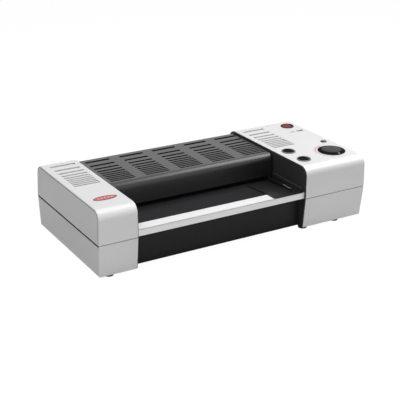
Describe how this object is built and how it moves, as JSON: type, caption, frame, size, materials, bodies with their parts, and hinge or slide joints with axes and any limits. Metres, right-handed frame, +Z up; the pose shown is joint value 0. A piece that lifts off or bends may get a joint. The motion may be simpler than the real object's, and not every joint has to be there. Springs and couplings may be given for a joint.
{
  "type": "pouch laminator",
  "caption": "Desktop hot roller pouch laminator with two silver end blocks, a vented charcoal cover, a feed table with a sliding edge guide, a heat dial and round rocker switches.",
  "frame": {"origin": "on the standing surface under the middle of the machine", "axes": "+X towards the controls block, +Y to the back where the pouch comes out, +Z up"},
  "size_m": [0.546, 0.256, 0.1234],
  "materials": {
    "silver_shell": "fine-textured silver-white",
    "charcoal_cover": "fine spark-eroded charcoal",
    "black_plastic": "satin black",
    "knob_plastic": "satin dark grey",
    "red_plastic": "gloss",
    "lamp_lens": "clear tinted",
    "badge_film": "satin printed film",
    "foot_rubber": "moulded",
    "roller_silicone": "ground silicone",
    "shaft_steel": "turned",
    "sheet_steel": "zinc plated sheet",
    "heater_aluminium": "extruded",
    "element_film": "polyimide film",
    "gear_nylon": "natural nylon",
    "bush_bronze": "sintered",
    "motor_steel": "satin",
    "board_laminate": "solder resist",
    "part_plastic": "moulded",
    "ribbon_grey": "flat lead",
    "pin_brass": "plated"
  },
  "bodies": {
    "machine": {"base_plate": "sheet_steel", "board_parts": "part_plastic", "board_standoffs": "gear_nylon", "case_screws": "shaft_steel", "centre_cover": "charcoal_cover", "control_board": "board_laminate", "drive_motor": "motor_steel", "exit_lip": "black_plastic", "feed_badge": "badge_film", "feed_guide": "sheet_steel", "feed_table": "black_plastic", "frame_screws": "shaft_steel", "front_panel": "black_plastic", "front_rail": "silver_shell", "heater_plates": "heater_aluminium", "heating_elements": "element_film", "inlet_pins": "pin_brass", "lamp_bezel": "black_plastic", "left_cheek": "black_plastic", "left_lower_shell": "silver_shell", "left_side_frame": "sheet_steel", "left_upper_shell": "silver_shell", "mains_inlet": "black_plastic", "mode_switch": "black_plastic", "motor_plate": "sheet_steel", "power_board": "board_laminate", "power_switch": "black_plastic", "pressure_springs": "shaft_steel", "ready_lamp": "lamp_lens", "rear_panel": "black_plastic", "reverse_switch": "black_plastic", "ribbon_cable": "ribbon_grey", "right_cheek": "black_plastic", "right_lower_shell": "silver_shell", "right_side_frame": "sheet_steel", "right_upper_shell": "silver_shell", "roller_bushes": "bush_bronze", "rubber_feet": "foot_rubber", "temperature_control": "part_plastic", "tie_bars": "shaft_steel"},
    "knob": {"temperature_knob": "knob_plastic"},
    "mode": {"mode_rocker": "black_plastic"},
    "reverse": {"reverse_rocker": "black_plastic"},
    "power": {"power_rocker": "red_plastic"},
    "guide": {"edge_guide": "black_plastic"},
    "idler": {"idler_gear": "gear_nylon"},
    "pinion": {"motor_pinion": "shaft_steel"},
    "front_lower": {"front_lower_roller": "roller_silicone", "front_lower_shaft": "shaft_steel", "front_lower_gear": "gear_nylon"},
    "front_upper": {"front_upper_roller": "roller_silicone", "front_upper_shaft": "shaft_steel", "front_upper_gear": "gear_nylon"},
    "rear_lower": {"rear_lower_roller": "roller_silicone", "rear_lower_shaft": "shaft_steel", "rear_lower_gear": "gear_nylon"},
    "rear_upper": {"rear_upper_roller": "roller_silicone", "rear_upper_shaft": "shaft_steel", "rear_upper_gear": "gear_nylon"}
  },
  "joints": [
    {"name": "knob_turn", "type": "hinge", "parent": "machine", "child": "knob", "pos_m": [0.235, -0.072, 0.12], "axis": [0, 0, -1], "range_deg": [0, 280]},
    {"name": "mode_tilt", "type": "hinge", "parent": "machine", "child": "mode", "pos_m": [0.1615, -0.037, 0.1162], "axis": [-1, 0, 0], "range_deg": [0, 16]},
    {"name": "reverse_tilt", "type": "hinge", "parent": "machine", "child": "reverse", "pos_m": [0.1615, -0.085, 0.1162], "axis": [-1, 0, 0], "range_deg": [0, 16]},
    {"name": "power_tilt", "type": "hinge", "parent": "machine", "child": "power", "pos_m": [0.2485, 0.088, 0.1162], "axis": [-1, 0, 0], "range_deg": [0, 16]},
    {"name": "guide_slide", "type": "slide", "parent": "machine", "child": "guide", "axis": [1, 0, 0], "range_m": [-0.27, 0]},
    {"name": "front_lower_turn", "type": "hinge", "parent": "machine", "child": "front_lower", "pos_m": [-0.032, 0.01, 0.05435], "axis": [1, 0, 0], "continuous": true},
    {"name": "front_upper_turn", "type": "hinge", "parent": "machine", "child": "front_upper", "pos_m": [-0.032, 0.01, 0.07965], "axis": [1, 0, 0], "continuous": true},
    {"name": "rear_lower_turn", "type": "hinge", "parent": "machine", "child": "rear_lower", "pos_m": [-0.032, 0.0884, 0.05435], "axis": [1, 0, 0], "continuous": true},
    {"name": "rear_upper_turn", "type": "hinge", "parent": "machine", "child": "rear_upper", "pos_m": [-0.032, 0.0884, 0.07965], "axis": [1, 0, 0], "continuous": true},
    {"name": "idler_turn", "type": "hinge", "parent": "machine", "child": "idler", "pos_m": [0.1465, 0.0492, 0.05435], "axis": [1, 0, 0], "continuous": true},
    {"name": "pinion_turn", "type": "hinge", "parent": "machine", "child": "pinion", "pos_m": [0.1465, 0.0492, 0.08855], "axis": [1, 0, 0], "continuous": true}
  ],
  "couplings": [
    {"joint": "front_upper_turn", "follows": "front_lower_turn", "ratio": -1},
    {"joint": "rear_lower_turn", "follows": "front_lower_turn", "ratio": 1},
    {"joint": "rear_upper_turn", "follows": "front_lower_turn", "ratio": -1},
    {"joint": "idler_turn", "follows": "front_lower_turn", "ratio": -0.4717},
    {"joint": "pinion_turn", "follows": "front_lower_turn", "ratio": 1.6667}
  ]
}
